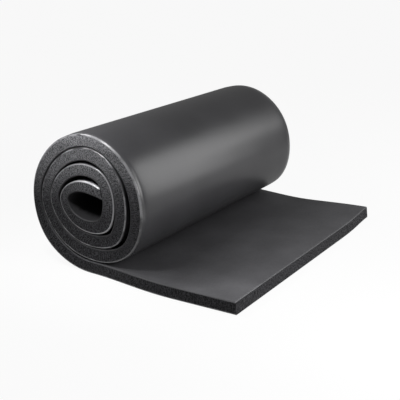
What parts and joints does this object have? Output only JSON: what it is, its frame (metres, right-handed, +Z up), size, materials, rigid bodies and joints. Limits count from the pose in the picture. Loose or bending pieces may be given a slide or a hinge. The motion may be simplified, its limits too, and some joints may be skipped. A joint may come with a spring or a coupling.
{
  "type": "insulation roll",
  "caption": "Rolled sheet of flexible closed-cell rubber foam insulation, lying on its side with its outer end unrolled flat.",
  "frame": {"origin": "centre of the footprint, on the floor the roll lies on", "axes": "+Z up, +Y along the roll's axis to the far end, +X towards the flat tail's cut end"},
  "size_m": [0.7644, 1.0486, 0.4425],
  "materials": {
    "foam": "satin"
  },
  "bodies": {
    "root": {"insulation_sheet": "foam"}
  },
  "joints": []
}
